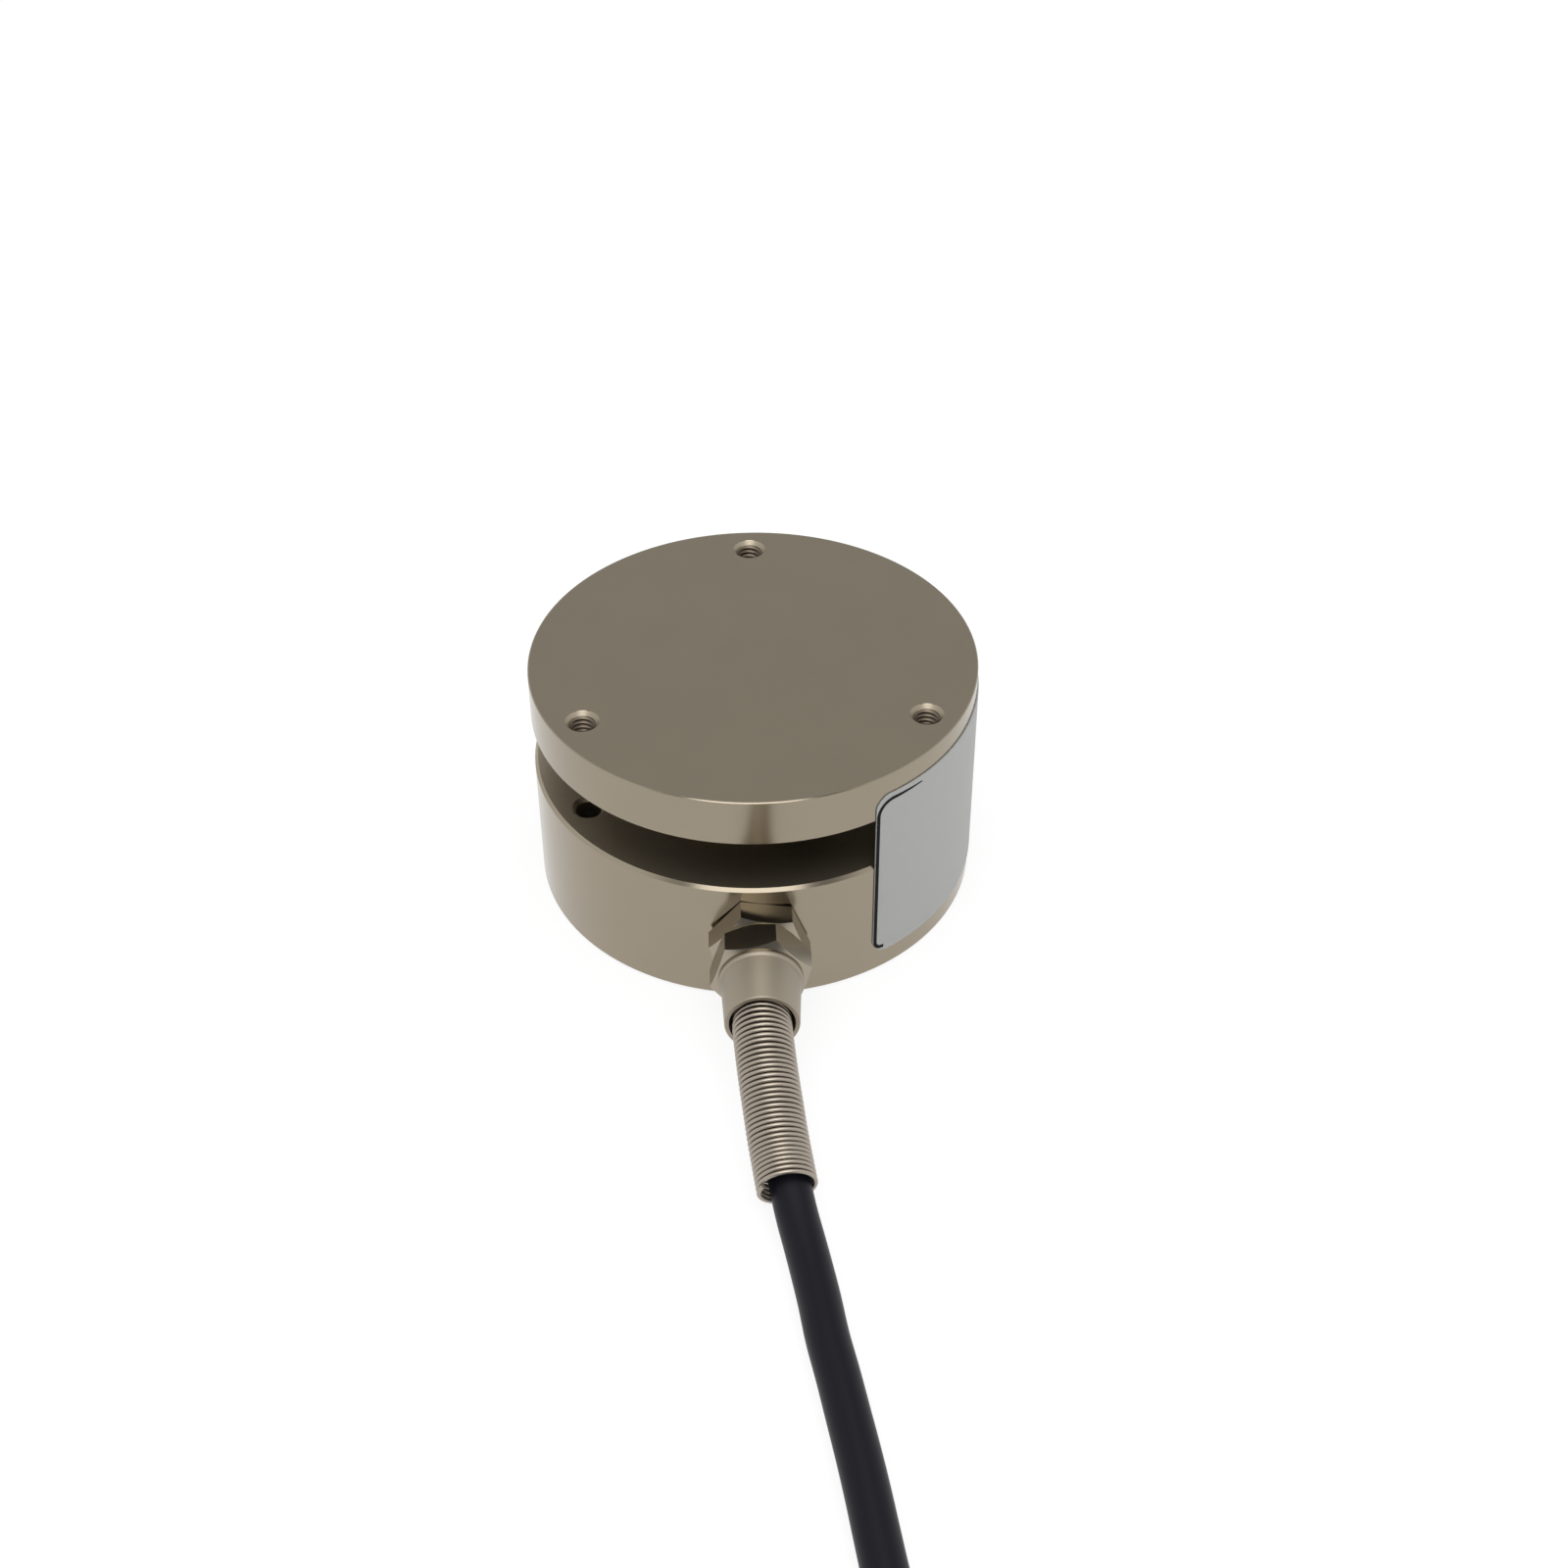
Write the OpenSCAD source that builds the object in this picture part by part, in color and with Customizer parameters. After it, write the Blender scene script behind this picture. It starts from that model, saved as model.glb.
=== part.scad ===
// Round strain gauge load cell: a spool-shaped flexure of one machined piece, a round load plate
// and a round base joined by a hidden neck, with the gauges under a diaphragm inside the base.
// A cable leaves the base through a compression gland and a coil spring strain relief.
// Millimetres. The origin is the centre of the base's underside, +Z points up through the load
// plate, and the cable leaves towards -Y.

/* [Load plate and base] */
// Outside diameter of the load plate and the base
body_d = 70; // [68:1:84]
// Thickness of the load plate
plate_t = 8; // [6:0.5:12]
// Height of the open slot between the load plate and the base
slot_h = 9; // [7:0.5:14]
// Height of the base
base_h = 22; // [21:0.5:30]
// Diameter of the neck that joins the load plate to the base
neck_d = 24; // [16:1:30]
// Fillet where the neck meets the load plate and the base
neck_fillet = 2; // [0.5:0.25:3]
// Broken edge round the load plate's two faces
plate_edge = 0.15; // [0.05:0.05:0.5]
// Chamfer on the base's outer edges
base_edge = 0.5; // [0.2:0.1:1]

/* [Bolt holes] */
// Thread diameter of the tapped holes in the load plate and the base
bolt_d = 4; // [3:0.5:5]
// Diameter of the countersink at each mouth of a tapped hole
sink_d = 5.2; // [5:0.1:6]
// Distance from a tapped hole's centre to the outside of the body
bolt_edge = 5; // [4:0.5:6]
// Number of tapped holes in the load plate, and in the base
bolt_count = 3; // [3:1:4]

/* [Flexure] */
// Thickness of the gauged diaphragm
diaphragm_t = 3; // [2:0.25:4]
// Width of the ring between the cavity's wall and the boss that carries the terminal board
ring_w = 11; // [10:0.5:12]
// Fillet in the corners of the gauge cavity
cavity_fillet = 1.5; // [0.5:0.25:2]

/* [Bottom cover] */
// Thickness of the bottom cover
cover_t = 2; // [1.5:0.1:2.5]
// Depth of the cover's underside below the face that the base stands on
cover_recess = 0.3; // [0.2:0.1:0.8]
// Metal between the cover's seat and the tapped holes
seat_wall = 1.6; // [1.2:0.1:2.5]
// Width of the ledge that the cover is screwed against
ledge_w = 6.4; // [6:0.1:8]
// Number of cover screws
cover_screw_count = 6; // [4:1:8]
// Thread diameter of the cover screws
cover_screw_d = 2; // [1.6:0.1:2.2]
// Length of the cover screws
cover_screw_len = 5; // [4:0.5:6]
// Section diameter of the cover's sealing ring
cover_seal_d = 1.2; // [1:0.1:1.4]

/* [Strain gauges] */
// Length of a strain gauge, along the radius
gauge_l = 6; // [5:0.25:7]
// Width of a strain gauge
gauge_w = 3.6; // [3:0.2:4.4]
// Thickness of a strain gauge
gauge_t = 0.25; // [0.2:0.05:0.4]
// Diameter of a gauge wire
gauge_wire_d = 0.4; // [0.3:0.05:0.6]
// Thickness of the terminal board
board_t = 0.8; // [0.6:0.1:1.2]

/* [Cable gland] */
// Height of the gland's axis above the base's underside
gland_z = 12.5; // [11:0.5:13.5]
// Width across flats of the gland's two hexagons
hex_af = 13.5; // [12:0.5:14]
// Thread diameter of the shank in the base's wall
shank_d = 8; // [7.5:0.5:8.5]
// Length of the shank
shank_l = 7.5; // [5:0.5:9]
// Length of the gland body's hexagon
body_hex_l = 4.1; // [3:0.1:5]
// Length of the nut's hexagon
nut_hex_l = 4.9; // [4:0.1:6]
// Thread diameter between the gland body and the nut
nut_thread_d = 10; // [9.6:0.1:10.4]
// Length of the nut's round sleeve
sleeve_l = 9; // [7:0.5:11]
// Diameter of the nut's sleeve at its root
sleeve_root_d = 12; // [11.6:0.1:12.6]
// Diameter of the nut's sleeve at its mouth
sleeve_tip_d = 11.1; // [10.8:0.1:11.6]

/* [Strain relief spring] */
// Outside diameter of the spring
spring_d = 9.2; // [8.6:0.1:9.3]
// Diameter of the spring's wire
wire_d = 0.64; // [0.5:0.02:0.64]
// Distance from one coil of the spring to the next
coil_pitch = 0.76; // [0.76:0.02:1.2]

/* [Cable] */
// Diameter of the cable's jacket
cable_d = 6; // [5:0.1:6]
// Diameter of an insulated core
core_d = 1.2; // [0.8:0.1:1.4]

/* [Nameplate] */
// Height of the blank nameplate that is stuck round the side
label_h = 31.5; // [24:0.5:34]
// Angle that the nameplate spans round the side
label_span = 96; // [60:2:110]
// Thickness of the nameplate
label_t = 0.2; // [0.1:0.05:0.3]
// Radius of the nameplate's corners
label_corner = 3; // [1:0.5:5]

/* [Hidden] */
$fn = 96;
body_r = body_d / 2;
body_h = base_h + slot_h + plate_t;
slot_top = base_h + slot_h;
neck_r = neck_d / 2;

// Clearances: between fitted cylinders, under a seated face, and round a threaded joint.
fit_gap = 0.05;
seat_gap = 0.05;
cut = 1;

// Rings round the cover, from the bolt circle inwards.
bolt_circle_r = body_r - bolt_edge;
first_bolt_angle = 90;
seat_r = bolt_circle_r - bolt_d / 2 - seat_wall;
cavity_r = seat_r - ledge_w;
boss_r = cavity_r - ring_w;
ledge_z = cover_recess + cover_t;
cover_screw_head_d = 1.75 * cover_screw_d;
cover_screw_edge = cover_screw_head_d / 2 + 0.65;
cover_screw_circle_r = seat_r - cover_screw_edge;
cover_screw_depth = cover_screw_len + 0.7;
seal_gap_w = cover_seal_d + 2 * fit_gap;
seal_groove_depth = cover_seal_d - 0.2;
seal_wall = 0.7;
seal_r = cavity_r + seal_wall + seal_gap_w / 2;

// Heights inside the gauge cavity.
diaphragm_z = base_h - diaphragm_t;
board_clear = 3.7;
boss_z = ledge_z + board_clear;
board_z = boss_z - board_t;
gauge_in_r = boss_r + cavity_fillet + 0.2;
gauge_count = 4;
first_gauge_angle = 45;
gauge_tab = 1;
gauge_tab_x = gauge_w / 4;
gauge_wire_r = gauge_in_r + gauge_tab / 2 + 0.2;
gauge_pad_r = 0.75;
board_r = gauge_wire_r + gauge_pad_r + 0.35;
pad_t = 0.05;
solder_h = 0.4;
foil_t = gauge_t / 3;
foil_line = gauge_w / 14;
foil_loops = 6;

// Stations along the gland's axis, measured from the body's axis.
wall_u = body_r;
hex_back_u = wall_u + seat_gap;
body_front_u = hex_back_u + body_hex_l;
nut_back_u = body_front_u + 0.3;
nut_front_u = nut_back_u + nut_hex_l;
collar_l = 0.8;
mouth_u = nut_front_u + sleeve_l;
thread_front_u = nut_front_u - 1;
shoulder_back_u = thread_front_u + 0.35;
shoulder_front_u = mouth_u - 3.6;
shank_end_u = hex_back_u - shank_l;
cable_bore_r = cable_d / 2 + 0.2;
seat_cone_r = nut_thread_d / 2 - 0.5;
seat_cone_l = 3;
spring_bore_r = spring_d / 2 + 0.1;
mouth_r = spring_d / 2 + 0.3;
gland_ring_d = 1.1;
gland_ring_r = shank_d / 2 + fit_gap + gland_ring_d / 2;
gland_ring_floor_u = hex_back_u - gland_ring_d + 0.05;
// Turn of each hexagon, and the circle that its bevels start from as a share of its flats.
body_hex_turn = 39;
nut_hex_turn = 17.5;
bevel_circle = 0.97;

// Nameplate: its lower edge, and where it starts beside the cable.
label_z = (body_h - label_h) / 2 + 0.15;
label_start = -60;

// Moves a table of points, given by distance to +X, distance out of the wall and height, to the
// side that the cable leaves from.
function outside(table) = [for (p = table) [p[0], -wall_u - p[1], p[2]]];

// Route of the spring's centre line from its seat in the gland nut to its open end.
SPRING_ROUTE = outside([
    [0, 15, gland_z], [0, 19, 12.2], [0.3, 23, 11.3], [0.7, 27, 10], [1.2, 31, 8.6],
    [1.7, 35, 7.15], [2.3, 39, 5.8], [2.9, 43, 4.75]
]);
// Route of the cable from the gauge cavity to the table, and along it to the coil.
CABLE_ROUTE = outside([
    [0, -17, gland_z], [0, -7, gland_z], [0, 3, gland_z], [0, 11, gland_z], [0, 15, gland_z],
    [0, 19, 12.1], [0.3, 23, 11.2], [0.8, 27, 9.9], [1.4, 31, 8.4], [2, 35, 6.9],
    [2.7, 39, 5.5], [3.4, 43, 4.4], [4.1, 47, 3.6], [4.9, 51, 3.2], [5.8, 56, 3],
    [6.6, 61, 3], [7.4, 67, 3], [8.5, 73, 3], [9.5, 79, 3], [10.5, 85, 3],
    [11.4, 91, 3], [12.2, 97, 3], [13.2, 104, 3], [14.8, 112, 3], [16.8, 120, 3.3],
    [19.9, 131.6, 3.7]
]);
// Coil of the length that is put away: its centre, and its turns' inner and outer centre lines.
COIL_AT = [-18, -wall_u - 161];
coil_in_r = 24;
coil_out_r = 42;
coil_lift = 0.8;
coil_layer = cable_d;
top_in_r = 30;
tail_r = 28;
tail_start = 255;
tail_end = 145;
// Angle beyond the jacket's end in which the bared cores come down onto the lower layers.
tail_clear = 28;
TIE_ANGLES = [180, 300];
tie_w = 4;

// Paths of the four cores inside the cavity, given for one core and moved to each side.
CORE_ROWS = [-1.8, -0.6, 0.6, 1.8];
core_pad_r = 0.48 * board_r;

CORE_COLOURS = ["firebrick", "#26262a", "seagreen", "whitesmoke"];
steel = "#9c9080";
dark_rubber = "#26262a";

// Shared shapes

// Points along an arc, in degrees, from its first angle to its last.
function arc(cx, cy, r, from, to, steps = 6) =
    [for (i = [0:steps]) let (a = from + (to - from) * i / steps) [cx + r * cos(a), cy + r * sin(a)]];

function unit(v) = v / norm(v);

// Direction of a route at one of its points.
function heading(p, i) = unit(p[min(i + 1, len(p) - 1)] - p[max(i - 1, 0)]);

// A ring of points round a centre, square to a direction; up fixes where the ring starts.
function ring(c, dir, up, r, sides) =
    let (u = unit(cross(dir, up)), v = cross(u, dir))
    [for (k = [0:sides - 1]) c - r * (cos(360 * k / sides) * u - sin(360 * k / sides) * v)];

// Faces of a tube whose rings follow one another, with both ends closed.
function tube_faces(rings, sides) = concat(
    [[for (k = [0:sides - 1]) sides - 1 - k]],
    [for (i = [0:rings - 2], k = [0:sides - 1]) let (n = (k + 1) % sides)
        each [[i * sides + k, i * sides + n, (i + 1) * sides + n],
              [i * sides + k, (i + 1) * sides + n, (i + 1) * sides + k]]],
    [[for (k = [0:sides - 1]) (rings - 1) * sides + k]]
);

// A round tube along a route.
module tube(route, r, sides, up = [0, 0, 1])
    polyhedron([for (i = [0:len(route) - 1]) each ring(route[i], heading(route, i), up, r, sides)],
        tube_faces(len(route), sides));

// Smooth curve through a route's points: q runs from 0 at the first point.
function smooth(p, q) =
    let (i = min(floor(q), len(p) - 2), f = q - i,
        a = p[max(i - 1, 0)], b = p[i], c = p[i + 1], d = p[min(i + 2, len(p) - 1)])
    (2 * b + (c - a) * f + (2 * a - 5 * b + 4 * c - d) * f * f
        + (3 * b - a - 3 * c + d) * f * f * f) / 2;

// Length along a route's straight legs up to point i.
function run(p, i) = i == 0 ? 0 : run(p, i - 1) + norm(p[i] - p[i - 1]);

// Places its children along the gland's axis: their +Z runs out of the base, their +Y points up.
module along_gland()
    translate([0, 0, gland_z]) rotate([90, 0, 0]) children();

// A ring or disc turned from a profile of radius and height points.
module turned(profile)
    rotate_extrude() polygon(profile);

// A hexagon blank from one station to another, its corners turned off at the ends that are named.
module hex_blank(af, from, to, turn, bevel_back, bevel_front) {
    corner_r = af / sqrt(3);
    flat_r = bevel_circle * af / 2;
    clear_r = corner_r + cut;
    bevel = (clear_r - flat_r) * tan(30);
    intersection() {
        translate([0, 0, from]) rotate(90 - turn) cylinder(r = corner_r, h = to - from, $fn = 6);
        turned([
            [0, from - (bevel_back ? 0 : cut)],
            [bevel_back ? flat_r : clear_r, from - (bevel_back ? 0 : cut)],
            [clear_r, from + (bevel_back ? bevel : 0)],
            [clear_r, to - (bevel_front ? bevel : 0)],
            [bevel_front ? flat_r : clear_r, to + (bevel_front ? 0 : cut)],
            [0, to + (bevel_front ? 0 : cut)]
        ]);
    }
}

// Repeats its children round the Z axis.
module around(count, first = 0)
    for (i = [0:count - 1]) rotate(first + 360 * i / count) children();

// Load body

// One tapped hole between two faces, with a countersink at each mouth.
module tapped_hole(low, high) {
    sink = (sink_d - bolt_d) / 2;
    translate([0, 0, low - cut]) cylinder(d = bolt_d, h = high - low + 2 * cut, $fn = 48);
    translate([0, 0, low - cut])
        cylinder(r1 = sink_d / 2 + cut, r2 = bolt_d / 2, h = sink + cut, $fn = 48);
    translate([0, 0, high - sink])
        cylinder(r1 = bolt_d / 2, r2 = sink_d / 2 + cut, h = sink + cut, $fn = 48);
}

// Half section of the machined spool: load plate, neck, diaphragm, boss and base wall.
function spool_profile() = concat(
    [[0, boss_z], [0, body_h], [body_r - plate_edge, body_h], [body_r, body_h - plate_edge],
        [body_r, slot_top + plate_edge], [body_r - plate_edge, slot_top]],
    arc(neck_r + neck_fillet, slot_top - neck_fillet, neck_fillet, 90, 180),
    arc(neck_r + neck_fillet, base_h + neck_fillet, neck_fillet, 180, 270),
    [[body_r - base_edge, base_h], [body_r, base_h - base_edge], [body_r, base_edge],
        [body_r - base_edge, 0],
        [seat_r, 0], [seat_r, ledge_z],
        [seal_r + seal_gap_w / 2, ledge_z], [seal_r + seal_gap_w / 2, ledge_z + seal_groove_depth],
        [seal_r - seal_gap_w / 2, ledge_z + seal_groove_depth], [seal_r - seal_gap_w / 2, ledge_z],
        [cavity_r, ledge_z]],
    arc(cavity_r - cavity_fillet, diaphragm_z - cavity_fillet, cavity_fillet, 0, 90),
    arc(boss_r + cavity_fillet, diaphragm_z - cavity_fillet, cavity_fillet, 90, 180),
    [[boss_r, boss_z]]
);

module load_body()
    color(steel) difference() {
        turned(spool_profile());
        around(bolt_count, first_bolt_angle) translate([bolt_circle_r, 0, 0]) {
            tapped_hole(0, base_h);
            tapped_hole(slot_top, body_h);
        }
        around(cover_screw_count) translate([cover_screw_circle_r, 0, ledge_z - cut])
            cylinder(d = cover_screw_d, h = cover_screw_depth - cover_t + cut, $fn = 32);
        along_gland() {
            translate([0, 0, cavity_r - 2]) cylinder(r = cable_bore_r, h = body_r, $fn = 48);
            translate([0, 0, shank_end_u - 0.5])
                cylinder(r = shank_d / 2 + fit_gap, h = shank_l + 2 * cut, $fn = 64);
            translate([0, 0, gland_ring_floor_u])
                cylinder(r = gland_ring_r + gland_ring_d / 2 + fit_gap, h = 2 * cut, $fn = 64);
        }
    }

// Bottom cover

module bottom_cover() {
    bevel = 0.3;
    cover_r = seat_r - 2 * fit_gap;
    head_r = cover_screw_head_d / 2;
    hole_r = cover_screw_d / 2 + 2 * fit_gap;
    color(steel) difference() {
        turned([[0, cover_recess], [cover_r - bevel, cover_recess], [cover_r, cover_recess + bevel],
            [cover_r, ledge_z], [0, ledge_z]]);
        around(cover_screw_count) translate([cover_screw_circle_r, 0, cover_recess]) {
            translate([0, 0, -cut]) cylinder(r = hole_r, h = cover_t + 2 * cut, $fn = 32);
            cylinder(r1 = head_r, r2 = 0, h = head_r, $fn = 32);
            translate([0, 0, -cut]) cylinder(r = head_r, h = cut, $fn = 32);
        }
    }
}

// Sealing ring, squeezed flat between the cover and the floor of its groove.
module cover_seal()
    color(dark_rubber) rotate_extrude() intersection() {
        translate([seal_r, ledge_z + seal_groove_depth / 2]) circle(d = cover_seal_d, $fn = 32);
        translate([seal_r - cover_seal_d, ledge_z]) square([2 * cover_seal_d, seal_groove_depth]);
    }

// Countersunk screws with a hexagon socket.
module cover_screws() {
    head_r = cover_screw_head_d / 2 - fit_gap;
    shank_r = cover_screw_d / 2 - fit_gap;
    socket_depth = 0.7;
    color("#8f8a80") around(cover_screw_count) translate([cover_screw_circle_r, 0, cover_recess])
        difference() {
            union() {
                cylinder(r1 = head_r, r2 = shank_r, h = head_r - shank_r, $fn = 32);
                cylinder(r = shank_r, h = cover_screw_len, $fn = 32);
            }
            translate([0, 0, -cut])
                cylinder(d = 0.62 * cover_screw_d, h = socket_depth + cut, $fn = 6);
        }
}

// Strain gauges

// One foil gauge flat on its face: backing, two solder tabs and a folded measuring grid.
module gauge_shape() {
    backing_t = gauge_t - foil_t;
    grid_w = gauge_w * 0.72;
    step = grid_w / (foil_loops - 1);
    grid_in = gauge_tab + 0.9;
    grid_out = gauge_l - 0.5;
    translate([0, -gauge_w / 2, -backing_t]) cube([gauge_l, gauge_w, backing_t]);
    translate([0, 0, -gauge_t]) linear_extrude(foil_t) {
        for (side = [-1, 1]) {
            translate([0.35, side * gauge_tab_x - gauge_tab / 2]) square(gauge_tab);
            translate([0.35 + gauge_tab / 2, side * grid_w / 2 - foil_line / 2])
                square([grid_in - gauge_tab / 2, foil_line]);
        }
        for (i = [0:foil_loops - 1]) translate([grid_in, -grid_w / 2 + i * step - foil_line / 2])
            square([grid_out - grid_in, foil_line]);
        for (i = [0:foil_loops - 2])
            translate([i % 2 == 0 ? grid_out - foil_line : grid_in,
                -grid_w / 2 + i * step - foil_line / 2])
                square([2 * foil_line, step + foil_line]);
    }
}

module strain_gauge(i)
    color("#c98a3c") rotate(first_gauge_angle + 360 * (i - 1) / gauge_count)
        translate([gauge_in_r, 0, diaphragm_z]) gauge_shape();

// Two enamelled wires that hang from a gauge's tabs to the holes of the terminal board.
module gauge_wires(i)
    color("#7a3b1c") rotate(first_gauge_angle + 360 * (i - 1) / gauge_count)
        for (side = [-1, 1]) translate([gauge_wire_r, side * gauge_tab_x, board_z - solder_h / 2])
            cylinder(d = gauge_wire_d, h = diaphragm_z - gauge_t - board_z + solder_h / 2, $fn = 16);

// Terminal board

// Ring of solder pads with a hole in each for a gauge wire, pads for the cores, and two pads
// under each end of the trimming resistors.
module terminal_board() {
    hole_r = gauge_wire_d / 2 + fit_gap;
    color("#2f6b46") difference() {
        union() {
            translate([0, 0, board_z]) cylinder(r = board_r, h = board_t, $fn = 64);
            around(gauge_count, first_gauge_angle) for (side = [-1, 1])
                translate([gauge_wire_r, side * gauge_tab_x, board_z - pad_t])
                    cylinder(r = gauge_pad_r, h = 2 * pad_t, $fn = 24);
            for (x = CORE_ROWS) translate([x, -core_pad_r, board_z - pad_t])
                cylinder(r = 0.5, h = 2 * pad_t, $fn = 24);
        }
        around(gauge_count, first_gauge_angle) for (side = [-1, 1])
            translate([gauge_wire_r, side * gauge_tab_x, board_z - cut])
                cylinder(r = hole_r, h = board_t + 2 * cut, $fn = 24);
    }
}

// A chip resistor with a metal cap at each end, under the board.
module chip_resistor(x, y, turn, length) {
    width = length / 2;
    height = 0.6;
    cap = length / 6;
    cap_over = 0.04;
    color("#34343a") translate([x, y, board_z - height - cap_over]) rotate(turn) {
        translate([-length / 2, -width / 2, cap_over]) cube([length, width, height - cap_over]);
        for (side = [-1, 1])
            translate([side * (length - cap) / 2 - cap / 2 - side * cap_over,
                -width / 2 - cap_over, 0])
                cube([cap, width + 2 * cap_over, height + cap_over]);
    }
}

// Cores inside the cavity

// From the end of the jacket down past the board's edge and in under it to a pad. Each row is a
// share of x, a distance in from the cavity's wall or from the pads' circle, and a height.
function inner_core_route(x) =
    let (under = board_r - core_pad_r)
    [for (p = [
        [0.5, cavity_r - 2, gland_z + x / 3], [0.5, cavity_r - 2.8, gland_z - 0.4 + x / 3],
        [0.6, cavity_r - 3.6, gland_z - 1.6], [0.7, cavity_r - 4.1, gland_z - 3.4],
        [0.8, cavity_r - 4.4, gland_z - 5.6], [0.9, cavity_r - 5.1, board_z - 0.2],
        [1, board_r + 1.2, board_z - 1.4], [1, board_r - 0.5, board_z - 1.8],
        [1, core_pad_r + 0.54 * under, board_z - 1.7], [1, core_pad_r + 0.2 * under, board_z - 1.2],
        [1, core_pad_r + 0.1, board_z - 0.5], [1, core_pad_r, board_z - pad_t]
    ]) [x * p[0], -p[1], p[2]]];

module inner_core(i)
    color(CORE_COLOURS[i]) tube(inner_core_route(CORE_ROWS[i]), core_d / 2, 8, [1, 0, 0]);

// Cable gland

// Threaded shank, hexagon and the cupped front thread that takes the rubber seal.
module gland_body()
    color(steel) along_gland() difference() {
        union() {
            turned([[0, shank_end_u], [shank_d / 2 - 0.5, shank_end_u], [shank_d / 2, shank_end_u + 0.5],
                [shank_d / 2, hex_back_u + 1], [0, hex_back_u + 1]]);
            hex_blank(hex_af, hex_back_u, body_front_u, body_hex_turn, false, true);
            turned([[0, body_front_u - 1], [nut_thread_d / 2, body_front_u - 1],
                [nut_thread_d / 2, thread_front_u - 0.4], [nut_thread_d / 2 - 0.4, thread_front_u],
                [0, thread_front_u]]);
        }
        turned([[0, shank_end_u - cut], [cable_bore_r, shank_end_u - cut],
            [cable_bore_r, thread_front_u - seat_cone_l], [seat_cone_r, thread_front_u],
            [seat_cone_r, thread_front_u + cut], [0, thread_front_u + cut]]);
    }

// Sealing ring in the counterbore under the gland body's hexagon.
module gland_ring()
    color(dark_rubber) along_gland() rotate_extrude() intersection() {
        translate([gland_ring_r, (gland_ring_floor_u + hex_back_u) / 2])
            circle(d = gland_ring_d, $fn = 32);
        translate([gland_ring_r - gland_ring_d, gland_ring_floor_u])
            square([2 * gland_ring_d, hex_back_u - gland_ring_floor_u]);
    }

// Tapered rubber sleeve that the nut squeezes onto the cable.
module gland_seal() {
    slope = (seat_cone_r - cable_bore_r) / seat_cone_l;
    inner_r = cable_d / 2 + fit_gap;
    back_u = thread_front_u - seat_cone_l + 0.4;
    color("#3a3a3e") along_gland() turned([
        [inner_r, back_u], [cable_bore_r + slope * 0.4 - fit_gap, back_u],
        [seat_cone_r - fit_gap, thread_front_u], [seat_cone_r - fit_gap, shoulder_back_u - seat_gap],
        [inner_r, shoulder_back_u - seat_gap]
    ]);
}

// Cap nut: hexagon, a turned collar and a slightly tapered sleeve that holds the spring.
module gland_nut() {
    collar_r = sleeve_root_d / 2 + 0.3;
    lip = 0.3;
    color(steel) along_gland() difference() {
        union() {
            hex_blank(hex_af, nut_back_u, nut_front_u, nut_hex_turn, true, true);
            turned([[0, nut_front_u - 1], [collar_r, nut_front_u - 1],
                [collar_r, nut_front_u + collar_l - lip], [collar_r - lip, nut_front_u + collar_l],
                [sleeve_root_d / 2, nut_front_u + collar_l],
                [sleeve_tip_d / 2, mouth_u - lip / 2], [sleeve_tip_d / 2 - lip / 2, mouth_u],
                [0, mouth_u]]);
        }
        turned([[0, nut_back_u - cut], [nut_thread_d / 2 + fit_gap, nut_back_u - cut],
            [nut_thread_d / 2 + fit_gap, shoulder_back_u], [cable_bore_r + 0.1, shoulder_back_u],
            [cable_bore_r + 0.1, shoulder_front_u], [spring_bore_r, shoulder_front_u],
            [spring_bore_r, mouth_u - 2], [mouth_r, mouth_u], [mouth_r, mouth_u + cut],
            [0, mouth_u + cut]]);
    }
}

// Strain relief spring

// The wire follows a helix round the bent centre line, one ring of points for each step.
module relief_spring() {
    steps = 12;
    sides = 6;
    helix_r = (spring_d - wire_d) / 2;
    last = len(SPRING_ROUTE) - 1;
    table = [for (i = [0:last]) [run(SPRING_ROUTE, i), i]];
    start = wire_d / 2 + seat_gap;
    count = floor((table[last][0] - start) / coil_pitch * steps);
    function on_axis(s) = smooth(SPRING_ROUTE, lookup(s, table));
    function on_helix(j) =
        let (s = start + j * coil_pitch / steps, dir = unit(on_axis(s + 0.2) - on_axis(s - 0.2)),
            u = unit(cross(dir, [0, 0, 1])), v = cross(u, dir))
        on_axis(s) + helix_r * (cos(360 * j / steps) * u + sin(360 * j / steps) * v);
    points = [for (j = [0:count]) on_helix(j)];
    color("#b5ab9c") polyhedron(
        [for (j = [0:count]) each ring(points[j], heading(points, j),
            unit(points[j] - on_axis(start + j * coil_pitch / steps)), wire_d / 2, sides)],
        tube_faces(count + 1, sides));
}

// Cable

module cable()
    color("#1e1e24") tube(CABLE_ROUTE, cable_d / 2, 12);

// Outside shape of the wound cable: two full layers with a narrower third on them, open at its
// inner edge where the cable's end lies.
module cable_coil() {
    low = coil_lift;
    mid = coil_lift + 2 * coil_layer;
    high = coil_lift + 3 * coil_layer;
    half = cable_d / 2;
    round_off = 1.5;
    color("#1e1e24") translate(COIL_AT) difference() {
        turned([
            [coil_in_r - half, low + round_off], [coil_in_r - half + round_off, low],
            [coil_out_r + half - round_off, low], [coil_out_r + half, low + round_off],
            [coil_out_r + half, high - round_off], [coil_out_r + half - round_off, high],
            [top_in_r - half, high], [top_in_r - half, mid],
            [coil_in_r - half + round_off, mid], [coil_in_r - half, mid - round_off]
        ]);
        rotate(tail_end - tail_clear) rotate_extrude(angle = tail_start - tail_end + tail_clear)
            translate([0, mid]) square([tail_r + half + fit_gap, 2 * coil_layer]);
    }
}

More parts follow.
